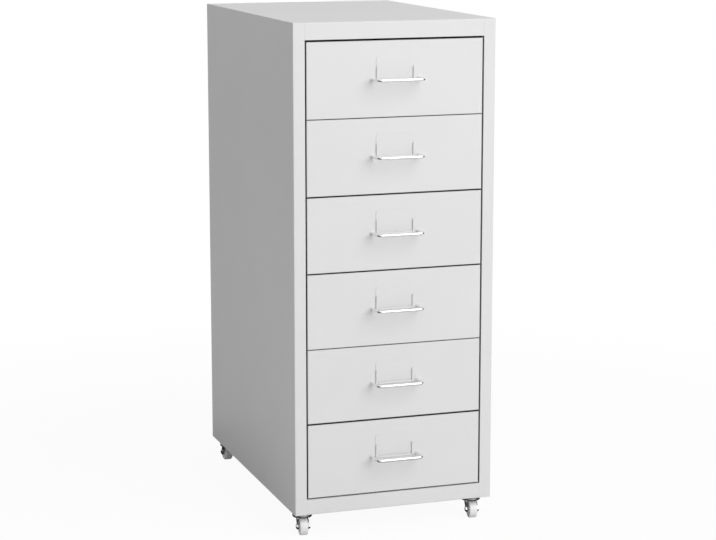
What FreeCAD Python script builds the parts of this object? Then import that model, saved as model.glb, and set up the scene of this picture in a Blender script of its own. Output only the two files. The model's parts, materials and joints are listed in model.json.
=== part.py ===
import FreeCAD
import Part
import math
import os

from FreeCAD import Vector

# Small steel drawer cabinet on swivel casters, an assembly of folded sheet parts.
# Lengths are in millimetres and angles in degrees.
# X runs to the right seen from the front, Y runs to the back and Z runs up.
# Pieces are drawn from the lower front edge of the carcass.
# They are moved as they are saved, so that the origin is on the floor,
# under the middle of the whole outline.

# Overall sizes
cabinet_width = 280.0
cabinet_depth = 430.0
cabinet_height = 688.0
caster_height = 33.0

# Sheet metal
sheet = 0.8
bend_radius = 0.4
seam = 0.1
cut_overrun = 1.0

# Front frame
stile_width = 16.0
stile_return = 14.0
top_rail_height = 22.5
base_rail_height = 21.0
rail_return = 12.0

# Rear flanges and the flanges inside the side skins
rear_flange = 16.0
panel_flange = 14.0
flange_relief = 4.0

# Tongues of the back panel, folded over the rear flanges
back_tab_inset = 11.0
back_tab_fold = 6.0
back_tab_width = 14.0
back_tab_end = 60.0
back_tab_gap = 0.2

# Drawer fronts: the gaps run from over the first front to under the last
drawer_count = 6
front_side_gap = 2.0
front_gap = 1.65
front_gap_shares = (1.58, 0.5, 1.03, 0.97, 0.5, 1.2, 0.97)
front_return = 12.0

# Drawer tray
tray_side_room = 25.0
tray_rear_room = 26.0
tray_height = 82.0
tray_lift = 3.0
lip_width = 7.6
hem_width = 4.6
tray_rear_hem = 6.0
screw_window = 9.0

# Runner channels
runner_front = 16.0
runner_rear_room = 14.0
runner_side_gap = 0.8
runner_under_gap = 0.3
runner_over_gap = 0.4
stop_height = 2.2
stop_width = 4.0
stop_edge = 1.6
stop_gap = 0.4
drawer_travel = 300.0

# Wire handle
handle_spacing = 64.0
handle_wire = 4.4
handle_corner = 3.6
handle_projection = 25.0
wire_sides = 12
bend_chords = 2

# Label holder
label_width = 54.0
label_height = 32.0
label_over_handle = 13.5
label_sheet = 0.6
label_corner = 2.0
label_lip = 3.0
label_lip_height = 19.0
label_pocket = 1.0
label_tab_width = 5.0
label_tab_spacing = 30.0
label_tab_length = 2.4
label_tab_gap = 0.2

# Handle screws
screw_diameter = 3.0
screw_bite = 6.0
screw_head_flats = 5.5
screw_head_height = 2.0
screw_hole_gap = 0.2

# Casters
caster_side_inset = 18.0
caster_end_inset = 28.0
plate_width = 32.0
plate_length = 41.0
plate_corner = 4.0
plate_sheet = 1.2
race_size = 28.0
race_height = 2.6
race_sides = 8
hook_width = 16.0
hook_lip = 5.0
hook_gap = 0.1
swivel_gap = 0.3
swivel_play = 0.08
kingpin_diameter = 5.0
kingpin_nut_flats = 9.0
kingpin_nut_height = 2.4
nut_sides = 6
pin_sides = 12
fork_sheet = 1.5
crown_width = 26.6
crown_rim = 4.4
crown_sides = 8
fork_shoulder = 2.6
fork_foot = 4.4
foot_corner_share = 0.42
wheel_diameter = 24.0
wheel_width = 11.0
wheel_side_gap = 1.0
wheel_trail = 9.0
axle_diameter = 4.0
axle_play = 0.08
axle_head_flats = 6.0
axle_head_height = 1.6

# Where each caster stands and the way its wheel trails, counted from +X towards +Y
caster_trails = {
    "front_left": -99.0,
    "front_right": -98.0,
    "rear_left": 94.0,
    "rear_right": 64.0,
}

# Sizes that follow from the ones above
carcass_height = cabinet_height - caster_height
half_width = cabinet_width / 2
opening_half = half_width - stile_width
opening_bottom = base_rail_height
opening_top = carcass_height - top_rail_height
front_height = (opening_top - opening_bottom - front_gap * sum(front_gap_shares)) / drawer_count
front_half = opening_half - front_side_gap
handle_reach = handle_projection + handle_wire / 2
screw_radius = screw_diameter / 2
tray_half = half_width - tray_side_room
tray_depth = cabinet_depth - tray_rear_room
lip_half = tray_half + lip_width
lip_underside = tray_lift + tray_height - sheet
runner_bottom = lip_underside - sheet - runner_under_gap - sheet
runner_top = tray_lift + tray_height + stop_height + runner_over_gap + sheet
runner_mouth = tray_half + runner_side_gap
runner_length = cabinet_depth - runner_front - runner_rear_room
closed_stop = sheet + tray_depth + stop_gap
open_stop = tray_depth - drawer_travel - stop_gap - sheet
fork_top = -plate_sheet - race_height - swivel_gap
leg_inside = wheel_width / 2 + wheel_side_gap
leg_outside = leg_inside + fork_sheet
axle_height = wheel_diameter / 2 - caster_height
front_y = (handle_reach - cabinet_depth - sheet) / 2
to_floor_frame = Vector(0, front_y, caster_height)


def front_bottoms():
    """Height of each drawer front's lower edge, from the top drawer down."""
    heights = []
    top = opening_top
    for share in front_gap_shares[:drawer_count]:
        top -= front_gap * share + front_height
        heights.append(top)
    return heights


def box(x0, x1, y0, y1, z0, z1):
    """Block between two corners."""
    return Part.makeBox(x1 - x0, y1 - y0, z1 - z0, Vector(x0, y0, z0))


def rod(radius, start, end):
    """Round bar between two points."""
    return Part.makeCylinder(radius, start.distanceToPoint(end), start, end - start)


def regular_outline(sides, corner, centre, normal):
    """Closed outline of equal sides whose first corner lies towards +X."""
    turn = FreeCAD.Rotation(normal, 360 / sides)
    spokes = [Vector(corner, 0, 0)]
    for _ in range(sides):
        spokes.append(turn.multVec(spokes[-1]))
    return Part.makePolygon([centre + spoke for spoke in spokes])


def prism(sides, across_flats, start, height):
    """Regular prism, such as a hexagon nut, from a start point, with its height as a vector."""
    corner = across_flats / 2 / math.cos(math.pi / sides)
    return Part.Face(regular_outline(sides, corner, start, height)).extrude(height)


def pin(radius, start, end):
    """Bar whose few flat sides stand for a round one that is hidden in its hole."""
    return Part.Face(regular_outline(pin_sides, radius, start, end - start)).extrude(end - start)


def mirrored(shape):
    """The same piece for the other side of the cabinet."""
    return shape.mirror(Vector(0, 0, 0), Vector(1, 0, 0))


def plan(u, v):
    """A point of an outline seen from above."""
    return Vector(u, v, 0)


def front_section(u, v):
    """A point of an outline seen from the front."""
    return Vector(u, 0, v)


def side_section(u, v):
    """A point of an outline seen from the side."""
    return Vector(0, u, v)


def rounded_path(points, radii, lift):
    """Straight edges and tangent arcs along a path.

    Each corner has a radius, or zero where it is sharp.
    """
    edges = []
    start = points[0]
    for before, corner, after, radius in zip(points, points[1:], points[2:], radii):
        if radius == 0:
            edges.append(Part.LineSegment(lift(*start), lift(*corner)).toShape())
            start = corner
            continue
        way_in = unit(before, corner)
        way_out = unit(corner, after)
        turn = math.acos(way_in[0] * way_out[0] + way_in[1] * way_out[1])
        run = radius * math.tan(turn / 2)
        arc_start = (corner[0] - way_in[0] * run, corner[1] - way_in[1] * run)
        arc_end = (corner[0] + way_out[0] * run, corner[1] + way_out[1] * run)
        middle = ((arc_start[0] + arc_end[0]) / 2, (arc_start[1] + arc_end[1]) / 2)
        inward = unit(corner, middle)
        reach = radius / math.cos(turn / 2) - radius
        arc_middle = (corner[0] + inward[0] * reach, corner[1] + inward[1] * reach)
        edges.append(Part.LineSegment(lift(*start), lift(*arc_start)).toShape())
        edges.append(Part.Arc(lift(*arc_start), lift(*arc_middle), lift(*arc_end)).toShape())
        start = arc_end
    edges.append(Part.LineSegment(lift(*start), lift(*points[-1])).toShape())
    return edges


def unit(a, b):
    """Direction from one outline point to another."""
    length = math.hypot(b[0] - a[0], b[1] - a[1])
    return ((b[0] - a[0]) / length, (b[1] - a[1]) / length)


def folded(skin, thickness, bends, lift, side):
    """Face of a folded sheet's section.

    The points follow one skin, and the sheet lies to their left, or to their right where side is -1.
    Bends gives the inside radius of each corner, or zero for a sharp one.
    """
    ways = [unit(a, b) for a, b in zip(skin, skin[1:])]
    normals = [(-w[1] * side, w[0] * side) for w in ways]
    other = []
    for i, point in enumerate(skin):
        before = normals[max(i - 1, 0)]
        after = normals[min(i, len(normals) - 1)]
        scale = thickness / (1 + before[0] * after[0] + before[1] * after[1])
        other.append((point[0] + (before[0] + after[0]) * scale, point[1] + (before[1] + after[1]) * scale))
    skin_radii = []
    other_radii = []
    for a, b, inside in zip(ways, ways[1:], bends):
        outside = inside + thickness if inside else 0
        sheet_is_inside = (a[0] * b[1] - a[1] * b[0]) * side > 0
        skin_radii.append(outside if sheet_is_inside else inside)
        other_radii.append(inside if sheet_is_inside else outside)
    edges = rounded_path(skin, skin_radii, lift)
    edges.append(Part.LineSegment(lift(*skin[-1]), lift(*other[-1])).toShape())
    edges += rounded_path(other[::-1], other_radii[::-1], lift)
    edges.append(Part.LineSegment(lift(*other[0]), lift(*skin[0])).toShape())
    return Part.Face(Part.Wire(Part.__sortEdges__(edges)))


def joined(first, *others):
    """One solid from pieces that meet."""
    return first.fuse(list(others)).removeSplitter().Solids[0]


def side_panel():
    """Left skin with the stile folded round its front edge and a flange at the back."""
    corners = [(-opening_half, 0), (-half_width, 0), (-half_width, cabinet_depth),
               (rear_flange - half_width, cabinet_depth)]
    plain = folded(corners, sheet, [bend_radius, 0], plan, -1).extrude(Vector(0, 0, carcass_height))
    lipped = folded([(-opening_half, stile_return)] + corners, sheet, [0, bend_radius, 0], plan, -1)
    lipped = lipped.extrude(Vector(0, 0, opening_top - opening_bottom))
    lipped.translate(Vector(0, 0, opening_bottom))
    # The stile has its return only beside the opening, and is cut flat beside the rails
    stile_edge = box(-opening_half - sheet, -opening_half + cut_overrun, -cut_overrun,
                     stile_return + cut_overrun, opening_bottom, opening_top)
    panel = joined(plain.cut(stile_edge), lipped)
    inside = (-half_width + sheet, cut_overrun - opening_half, sheet, cabinet_depth - sheet)
    panel = panel.cut(box(*inside, carcass_height - sheet - seam, carcass_height + cut_overrun))
    panel = panel.cut(box(*inside, -cut_overrun, sheet + seam))
    root = back_tab_inset - half_width
    for z in back_tab_heights():
        half = back_tab_width / 2 + back_tab_gap
        slot = (root - back_tab_gap - sheet, root + back_tab_gap, inside[-1] - cut_overrun)
        panel = panel.cut(box(*slot, cabinet_depth + cut_overrun, z - half, z + half))
    return panel.Solids[0]


def back_tab_heights():
    """Middle heights of the back panel's tongues on one side."""
    return [back_tab_end, carcass_height / 2, carcass_height - back_tab_end]


def back_panel():
    """Flat sheet inside the rear flanges, with tongues lanced out and folded over the flanges."""
    half = half_width - sheet - seam
    front = cabinet_depth - sheet * 2
    panel = box(-half, half, front, front + sheet, sheet + seam, carcass_height - sheet - seam)
    root = half_width - back_tab_inset
    window_end = root + sheet + back_tab_fold
    for z in back_tab_heights():
        low = z - back_tab_width / 2
        high = z + back_tab_width / 2
        for side in (-1, 1):
            window = sorted((side * (root + sheet), side * window_end))
            stem = sorted((side * root, side * (root + sheet)))
            fold = sorted((side * root, side * (root + back_tab_fold)))
            panel = panel.cut(box(*window, front - cut_overrun, front + sheet + cut_overrun, low, high))
            panel = joined(panel, box(*stem, front, cabinet_depth + sheet, low, high),
                           box(*fold, cabinet_depth, cabinet_depth + sheet, low, high))
    return panel


def end_panel(rail_height, height, up):
    """Top panel, or base panel where up is -1: a sheet with a front rail, side flanges and a rear flange."""
    rail_half = opening_half - seam
    wing_end = half_width - sheet - seam
    rail_edge = height - up * rail_height
    flange_edge = height - up * panel_flange
    skin = [(rail_return, rail_edge), (0, rail_edge), (0, height), (cabinet_depth, height),
            (cabinet_depth, flange_edge)]
    middle = folded(skin, sheet, [0, bend_radius, 0], side_section, -up)
    middle = middle.extrude(Vector(rail_half * 2, 0, 0))
    middle.translate(Vector(-rail_half, 0, 0))
    sheet_low = min(height, height - up * sheet)
    pieces = []
    for side in (-1, 1):
        inner = side * (rail_half - sheet)
        outer = side * wing_end
        flat = sorted((inner, side * (wing_end - sheet)))
        pieces.append(box(*flat, sheet + seam, cabinet_depth - sheet - seam, sheet_low, sheet_low + sheet))
        wing_skin = [(inner, height), (outer, height), (outer, flange_edge)]
        wing = folded(wing_skin, sheet, [0], front_section, -up * side)
        wing = wing.extrude(Vector(0, cabinet_depth - flange_relief * 2, 0))
        wing.translate(Vector(0, flange_relief, 0))
        pieces.append(wing)
    return joined(middle, *pieces)


def top_panel():
    """Top sheet with its front rail."""
    return end_panel(top_rail_height, carcass_height, 1)


def base_panel():
    """Base sheet with its front rail, and hooks lanced from it that hold the caster plates."""
    panel = end_panel(base_rail_height, 0, -1)
    under_plate = -plate_sheet - hook_gap
    stem_in = plate_length / 2 + hook_gap
    window_start = stem_in - hook_lip
    for x, y in caster_places().values():
        span = (x - hook_width / 2, x + hook_width / 2)
        for side in (-1, 1):
            window = sorted((y + side * window_start, y + side * stem_in))
            stem = sorted((y + side * stem_in, y + side * (stem_in + sheet)))
            lip = sorted((y + side * window_start, y + side * (stem_in + sheet)))
            panel = panel.cut(box(*span, *window, -cut_overrun, sheet + cut_overrun))
            panel = joined(panel, box(*span, *stem, under_plate - sheet, sheet),
                           box(*span, *lip, under_plate - sheet, under_plate))
    return panel


def runner(front_bottom):
    """Left runner channel on the side skin, with a lanced stop near its front and a stop at its rear."""
    low = front_bottom + runner_bottom
    high = front_bottom + runner_top
    wall = sheet - half_width
    skin = [(-runner_mouth, low), (wall, low), (wall, high), (-runner_mouth, high)]
    channel = folded(skin, sheet, [0, 0], front_section, -1).extrude(Vector(0, runner_length, 0))
    channel.translate(Vector(0, runner_front, 0))
    tab_outer = stop_edge - lip_half
    tab_inner = tab_outer + stop_width
    tab_low = front_bottom + tray_lift + tray_height + runner_over_gap
    window = box(tab_outer, tab_inner, open_stop - stop_height, open_stop,
                 high - sheet - cut_overrun, high + cut_overrun)
    front_stop = box(tab_outer, tab_inner, open_stop, open_stop + sheet, tab_low, high)
    rear_stop = box(tab_outer, tab_inner, closed_stop, closed_stop + sheet, low, high)
    return joined(channel.cut(window), front_stop, rear_stop)


def drawer_tray(front_bottom):
    """Tray welded of five sheets: a floor, a front and a rear wall, and two sides that hang on their lips.

    The front wall is spot-welded to the drawer front, and has windows for the screws and the
    label holder's tabs. The rim of the rear wall is hemmed on the outside.
    """
    low = front_bottom + tray_lift
    rim = low + tray_height
    rear = sheet + tray_depth
    inside = tray_half - sheet
    walls = (low + sheet, rim)
    floor = box(-tray_half, tray_half, sheet, rear, low, low + sheet)
    rear_wall = joined(box(-inside, inside, rear - sheet, rear, *walls),
                       box(-inside, inside, rear, rear + sheet, rim - tray_rear_hem, rim))
    front_wall = box(-inside, inside, sheet, sheet * 2, *walls)
    z = handle_height(front_bottom)
    half = screw_window / 2
    openings = label_tabs(front_bottom, label_tab_gap)
    for x in handle_posts():
        openings.append(box(x - half, x + half, 0, sheet * 2 + cut_overrun, z - half, z + half))
    for opening in openings:
        front_wall = front_wall.cut(opening)
    side = tray_side(front_bottom)
    return floor, front_wall.Solids[0], rear_wall, side, mirrored(side)


def tray_side(front_bottom):
    """Left side of a tray, folded out into a hemmed lip that has a stop tab at its rear end."""
    under_lip = front_bottom + lip_underside
    rear = sheet + tray_depth
    skin = [(-lip_half, under_lip), (-tray_half, under_lip), (-tray_half, front_bottom + tray_lift + sheet)]
    side = folded(skin, sheet, [0], front_section, 1).extrude(Vector(0, tray_depth, 0))
    side.translate(Vector(0, sheet, 0))
    # The lip starts behind the return of the drawer front
    lip_start = front_return + seam
    side = side.cut(box(-lip_half - cut_overrun, -tray_half, 0, lip_start,
                        under_lip - cut_overrun, under_lip + sheet + cut_overrun))
    hem = box(-lip_half, hem_width - lip_half, lip_start, rear, under_lip - sheet, under_lip)
    tab_outer = stop_edge - lip_half
    tab_top = under_lip + sheet + stop_height
    tab = box(tab_outer, tab_outer + stop_width, rear - sheet, rear, under_lip, tab_top)
    return joined(side, hem, tab)


def drawer_front(front_bottom):
    """Shallow folded pan that makes the face of a drawer."""
    top = front_bottom + front_height
    outer = box(-front_half, front_half, 0, front_return, front_bottom, top)
    face_edges = [e for e in outer.Edges if e.BoundBox.YMax < sheet]
    outer = outer.makeChamfer(sheet, face_edges)
    inner = box(sheet - front_half, front_half - sheet, sheet, front_return + cut_overrun,
                front_bottom + sheet, top - sheet)
    pan = outer.cut(inner)
    z = handle_height(front_bottom)
    for x in handle_posts():
        ends = (Vector(x, -cut_overrun, z), Vector(x, sheet + cut_overrun, z))
        pan = pan.cut(rod(screw_radius + screw_hole_gap, *ends))
    for slot in label_tabs(front_bottom, label_tab_gap):
        pan = pan.cut(slot)
    return pan.Solids[0]


def handle_height(front_bottom):
    """Height of the handle, at the middle of the front."""
    return front_bottom + front_height / 2


def handle_posts():
    """Places of the handle's two posts across the front."""
    return [-handle_spacing / 2, handle_spacing / 2]


def drawer_handle(front_bottom):
    """Bent wire bow whose ends stand on the front."""
    turns = [math.pi / 2 * step / bend_chords for step in range(bend_chords + 1)]
    bend_x = handle_spacing / 2 - handle_corner
    bend_y = handle_corner - handle_projection
    half = [(handle_spacing / 2, 0)]
    half += [(bend_x + handle_corner * math.cos(t), bend_y - handle_corner * math.sin(t)) for t in turns]
    points = [(-x, y) for x, y in half] + half[::-1]
    z = handle_height(front_bottom)
    path = Part.makePolygon([Vector(x, y, z) for x, y in points])
    end = Vector(-handle_spacing / 2, 0, z)
    section = regular_outline(wire_sides, handle_wire / 2, end, Vector(0, 1, 0))
    corner_style = 1
    return path.makePipeShell([section], True, True, corner_style)


def handle_screws(front_bottom):
    """Two hexagon-head screws from inside the drawer into the ends of the handle."""
    z = handle_height(front_bottom)
    screws = []
    for x in handle_posts():
        seat = Vector(x, sheet, z)
        head = prism(nut_sides, screw_head_flats, seat, Vector(0, screw_head_height, 0))
        screws.append(joined(head, rod(screw_radius, seat, Vector(x, -screw_bite, z))))
    return screws


def label_low(front_bottom):
    """Height of the label holder's lower edge, behind the handle's bow."""
    return handle_height(front_bottom) + label_over_handle - label_height / 2


def label_tabs(front_bottom, gap):
    """Two tabs at the back of the label holder, or their slots in the front where a gap is given."""
    middle = label_low(front_bottom) + label_height / 2
    back = label_tab_length + gap
    half = label_tab_width / 2 + gap
    thick = label_sheet / 2 + gap
    return [box(x - half, x + half, -label_sheet / 2, back, middle - thick, middle + thick)
            for x in (-label_tab_spacing / 2, label_tab_spacing / 2)]


def label_holder(front_bottom):
    """Card holder: a plate with folded lips at its sides and foot, held by two tabs."""
    half = label_width / 2
    low = label_low(front_bottom)
    plate = box(-half, half, -label_sheet, 0, low, low + label_height)
    top_edges = [e for e in plate.Edges if e.BoundBox.ZMin > low + label_height - seam]
    plate = plate.makeChamfer(label_corner, [e for e in top_edges if e.BoundBox.XLength < seam])
    face_back = -label_sheet - label_pocket
    face_front = face_back - label_sheet
    parts = []
    for side in (-1, 1):
        wall = sorted((side * half, side * (half - label_sheet)))
        lip = sorted((side * half, side * (half - label_lip)))
        parts.append(box(*wall, face_front, 0, low, low + label_lip_height))
        parts.append(box(*lip, face_front, face_back, low, low + label_lip_height))
    parts.append(box(-half, half, face_front, 0, low, low + label_sheet))
    parts.append(box(-half, half, face_front, face_back, low, low + label_lip))
    return joined(plate, *parts, *label_tabs(front_bottom, 0))


def caster_places():
    """Swivel axis of each caster, from the lower front edge of the carcass."""
    x = half_width - caster_side_inset
    ends = {"front": caster_end_inset, "rear": cabinet_depth - caster_end_inset}
    sides = {"left": -x, "right": x}
    return {f"{end}_{side}": (sides[side], ends[end]) for end in ends for side in sides}


def caster_plate():
    """Plate with the race under it, and the kingpin that the fork turns on with its nut."""
    half = plate_width / 2
    plate = box(-half, half, -plate_length / 2, plate_length / 2, -plate_sheet, 0)
    corners = [e for e in plate.Edges if e.BoundBox.ZLength > plate_sheet - seam]
    plate = plate.makeChamfer(plate_corner, corners)
    race = prism(race_sides, race_size, Vector(0, 0, -plate_sheet), Vector(0, 0, -race_height))
    nut_top = Vector(0, 0, fork_top - fork_sheet - swivel_gap)
    kingpin = pin(kingpin_diameter / 2, nut_top, Vector(0, 0, -plate_sheet - race_height))
    nut = prism(nut_sides, kingpin_nut_flats, nut_top, Vector(0, 0, -kingpin_nut_height))
    return joined(plate, race, kingpin, nut)


def caster_fork():
    """Pressed fork: a crown with a rim, two legs that step in under it, and the axle bolt."""
    half = crown_width / 2
    root = half * math.tan(math.pi / crown_sides)
    crown_under = fork_top - fork_sheet
    rim_low = fork_top - crown_rim
    knee = rim_low - fork_shoulder
    foot = axle_height - fork_foot
    down = Vector(0, 0, -crown_rim)
    crown = prism(crown_sides, crown_width, Vector(0, 0, fork_top), down)
    crown = crown.cut(prism(crown_sides, crown_width - fork_sheet * 2, Vector(0, 0, crown_under), down))
    crown.rotate(Vector(0, 0, 0), Vector(0, 0, 1), 180 / crown_sides)
    skin = [(-leg_outside, foot), (-leg_outside, knee), (-half, rim_low), (-half, fork_top)]
    skin += [(-y, z) for y, z in skin[::-1]]
    legs = folded(skin, fork_sheet, [0] * (len(skin) - 2), side_section, -1)
    legs = legs.extrude(Vector(root + wheel_trail + fork_foot, 0, 0))
    legs.translate(Vector(-root, 0, 0))
    foot_corner = fork_foot * foot_corner_share
    outline = [(-root, fork_top), (root, fork_top), (root, rim_low),
               (wheel_trail + fork_foot, axle_height), (wheel_trail + fork_foot, axle_height - foot_corner),
               (wheel_trail + foot_corner, foot), (wheel_trail - foot_corner, foot),
               (wheel_trail - fork_foot, axle_height - foot_corner), (wheel_trail - fork_foot, axle_height),
               (-root, rim_low), (-root, fork_top)]
    trim = Part.Face(Part.makePolygon([Vector(x, -half, z) for x, z in outline]))
    legs = legs.common(trim.extrude(Vector(0, crown_width, 0)))
    king_hole = rod(kingpin_diameter / 2 + swivel_play, Vector(0, 0, crown_under - cut_overrun),
                    Vector(0, 0, fork_top + cut_overrun))
    right = Vector(wheel_trail, leg_outside, axle_height)
    left = Vector(wheel_trail, -leg_outside, axle_height)
    heads = [prism(nut_sides, axle_head_flats, right, Vector(0, axle_head_height, 0)),
             prism(nut_sides, axle_head_flats, left, Vector(0, -axle_head_height, 0))]
    return joined(joined(crown, legs).cut(king_hole), pin(axle_diameter / 2, left, right), *heads)


def caster_wheel():
    """Moulded wheel with a plain bore."""
    half = wheel_width / 2
    ends = (Vector(wheel_trail, -half, axle_height), Vector(wheel_trail, half, axle_height))
    return rod(wheel_diameter / 2, *ends).cut(rod(axle_diameter / 2 + axle_play, *ends)).Solids[0]


def save(name, *solids):
    """Writes one named part, moved to the floor frame."""
    shape = solids[0] if len(solids) == 1 else Part.makeCompound(solids)
    shape = shape.copy()
    shape.translate(to_floor_frame)
    assert shape.isValid(), name
    shape.exportStep(f"parts/{name}.step")


def save_carcass():
    """Panels, runners and caster plates of the carcass."""
    left = side_panel()
    save("left_side_panel", left)
    save("right_side_panel", mirrored(left))
    save("top_panel", top_panel())
    save("base_panel", base_panel())
    save("back_panel", back_panel())
    left_runners = [runner(bottom) for bottom in front_bottoms()]
    save("left_runners", *left_runners)
    save("right_runners", *[mirrored(r) for r in left_runners])
    plates = []
    for x, y in caster_places().values():
        plate = caster_plate()
        plate.translate(Vector(x, y, 0))
        plates.append(plate)
    save("caster_plates", *plates)


def save_drawers():
    """Tray, front, handle, screws and label holder of each drawer."""
    for number, bottom in enumerate(front_bottoms(), 1):
        save(f"drawer_{number}_tray", *drawer_tray(bottom))
        save(f"drawer_{number}_front", drawer_front(bottom))
        save(f"drawer_{number}_handle", drawer_handle(bottom))
        save(f"drawer_{number}_handle_screws", *handle_screws(bottom))
        save(f"drawer_{number}_label_holder", label_holder(bottom))


def save_casters():
    """Fork and wheel of each caster, turned the way it trails."""
    for place, (x, y) in caster_places().items():
        for piece, shape in (("fork", caster_fork()), ("wheel", caster_wheel())):
            shape.rotate(Vector(0, 0, 0), Vector(0, 0, 1), caster_trails[place])
            shape.translate(Vector(x, y, 0))
            save(f"caster_{place}_{piece}", shape)


os.makedirs("parts", exist_ok=True)
save_carcass()
save_drawers()
save_casters()
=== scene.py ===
import json
import math

import bmesh
import bpy
from bpy.props import FloatProperty, FloatVectorProperty, IntProperty, PointerProperty
from bpy.types import Operator, Panel, PropertyGroup
from mathutils import Matrix, Vector

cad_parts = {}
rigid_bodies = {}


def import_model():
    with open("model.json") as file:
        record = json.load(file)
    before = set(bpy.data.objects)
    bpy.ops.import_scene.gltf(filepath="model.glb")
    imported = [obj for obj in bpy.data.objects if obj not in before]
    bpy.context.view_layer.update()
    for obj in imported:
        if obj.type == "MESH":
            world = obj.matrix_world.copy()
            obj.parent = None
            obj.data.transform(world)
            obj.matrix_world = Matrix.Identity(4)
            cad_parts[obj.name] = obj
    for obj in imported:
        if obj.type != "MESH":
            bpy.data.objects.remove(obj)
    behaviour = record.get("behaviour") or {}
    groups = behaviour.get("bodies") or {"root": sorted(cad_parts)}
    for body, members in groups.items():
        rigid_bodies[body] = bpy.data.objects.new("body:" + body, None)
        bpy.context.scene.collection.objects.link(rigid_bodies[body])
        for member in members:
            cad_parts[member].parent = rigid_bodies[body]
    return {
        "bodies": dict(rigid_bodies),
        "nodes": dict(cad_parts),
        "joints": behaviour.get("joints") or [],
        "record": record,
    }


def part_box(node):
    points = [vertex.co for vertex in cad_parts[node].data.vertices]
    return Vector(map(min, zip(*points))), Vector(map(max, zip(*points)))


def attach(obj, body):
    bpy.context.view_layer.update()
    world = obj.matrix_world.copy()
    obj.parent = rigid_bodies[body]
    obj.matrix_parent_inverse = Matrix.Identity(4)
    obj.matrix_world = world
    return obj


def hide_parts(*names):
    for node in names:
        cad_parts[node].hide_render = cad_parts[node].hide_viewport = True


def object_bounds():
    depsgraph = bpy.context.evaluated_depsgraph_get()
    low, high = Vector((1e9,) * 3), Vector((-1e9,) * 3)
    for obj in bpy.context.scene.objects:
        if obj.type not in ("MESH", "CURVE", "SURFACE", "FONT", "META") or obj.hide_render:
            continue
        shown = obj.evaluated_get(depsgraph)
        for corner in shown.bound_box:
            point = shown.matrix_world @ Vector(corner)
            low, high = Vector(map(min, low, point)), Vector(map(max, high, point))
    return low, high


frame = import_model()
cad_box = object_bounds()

bl_info = {
    "name": "Metal drawer cabinet",
    "version": (1, 0, 0),
    "blender": (4, 5, 0),
    "location": "View3D > Sidebar > Cabinet",
    "description": "Finishes and fine pieces of a painted steel drawer cabinet on casters",
    "category": "Object",
}

# Everything is in metres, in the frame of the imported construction.

drawers = sorted(body for body in frame["bodies"] if body.startswith("drawer_"))
casters = sorted(body[:-len("_swivel")] for body in frame["bodies"] if body.endswith("_swivel"))
subparts = frame["record"]["subparts"]
painted_nodes = sorted(part["node"] for part in subparts if part["material_slot"] == "body_paint")
joints = {joint["name"]: joint for joint in frame["joints"]}
front_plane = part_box("left_side_panel")[0].y
carcass_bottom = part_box("left_side_panel")[0].z

round_steps = 72  # Sides of the large round forms, such as a wheel.
pin_steps = 28  # Sides of a pin.
corner_steps = 6  # Faces round the quarter turn of a fold or a corner.
flat_share = math.cos(math.pi / 6)  # A hexagon's width across flats, as a share of its width across corners.
chamfer_share = 0.86  # How far the chamfer of a hexagon head narrows its end.
weighted_normals = ("WEIGHTED_NORMAL", {"weight": 100})

# Each dark card shows only in metal, as a painted dark reflection: a corner and two sides.
cards = {
    "left_card": ((-1.5, -1.95, 0.004), (0, 3.0, 0), (0, 0, 1.3)),
    "right_card": ((1.5, -0.85, 0.004), (0, 1.9, 0), (0, 0, 1.3)),
    # The card under the part and the floor card to its left darken the floor only as mirrored in metal:
    # painted dark reflection, the first one of the part's shadow on the floor.
    "card_under_part": ((-0.26, -0.25, 0.002), (0.52, 0, 0), (0, 0.65, 0)),
    "left_floor_card": ((-1.5, -1.6, 0.002), (1.2, 0, 0), (0, 1.35, 0)),
}
# Each lamp of the studio: its place, its size and the name of its power in the setup.
lamps = {
    "front_lamp": ((1.3, -3.2, 2.2), 3.0, "key"),
    "top_lamp": ((0.2, 0.3, 3.0), 2.0, "top"),
}


class Signal:
    """A shader or geometry value whose arithmetic adds Math nodes."""

    def __init__(self, board, socket):
        self.board = board
        self.socket = socket

    def math(self, operation, *others):
        """The result of a Math node on this value and others."""
        return self.board.add("Math", {"operation": operation}, dict(enumerate((self, *others)))).out()

    def __add__(self, other):
        return self.math("ADD", other)

    def __sub__(self, other):
        return self.math("SUBTRACT", other)

    def __rsub__(self, other):
        return self.board.add("Math", {"operation": "SUBTRACT"}, {0: other, 1: self}).out()

    def __mul__(self, other):
        return self.math("MULTIPLY", other)

    def __truediv__(self, other):
        return self.math("DIVIDE", other)

    def ramp(self, start, end):
        """Nought below start, one above end and smooth between them."""
        settings = {"interpolation_type": "SMOOTHSTEP"}
        return self.board.add("MapRange", settings, {"Value": self, "From Min": start, "From Max": end}).out()


class Part:
    """One node on a board, with its outputs as signals."""

    def __init__(self, board, node):
        self.board = board
        self.node = node

    def out(self, name=0):
        """An output as a signal, by its name or its number."""
        outputs = [s for s in self.node.outputs if s.enabled]
        socket = outputs[name] if isinstance(name, int) else next(s for s in outputs if s.name == name)
        return Signal(self.board, socket)


class Board:
    """A node tree that is put together one node at a time."""

    def __init__(self, tree, prefix):
        self.tree = tree
        self.prefix = prefix
        tree.nodes.clear()

    def add(self, kind, settings=None, inputs=None):
        """A node of a kind, with its settings first and then the values or links of its sockets."""
        common = ("Math", "MapRange", "CombineXYZ", "SeparateXYZ")
        prefix = "ShaderNode" if kind in common else self.prefix
        node = self.tree.nodes.new(kind if kind.startswith(("Node", "FunctionNode")) else prefix + kind)
        for name, value in (settings or {}).items():
            setattr(node, name, value)
        for name, value in (inputs or {}).items():
            enabled = [s for s in node.inputs if s.enabled]
            socket = enabled[name] if isinstance(name, int) else next(s for s in enabled if s.name == name)
            if isinstance(value, Signal):
                self.tree.links.new(value.socket, socket)
            else:
                socket.default_value = value
        return Part(self, node)


def finish_board(name):
    """A new material, its board and the place of its Object coordinates."""
    material = bpy.data.materials.new(name)
    material.use_nodes = True
    board = Board(material.node_tree, "ShaderNode")
    return material, board, board.add("TexCoord").out("Object")


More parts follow.
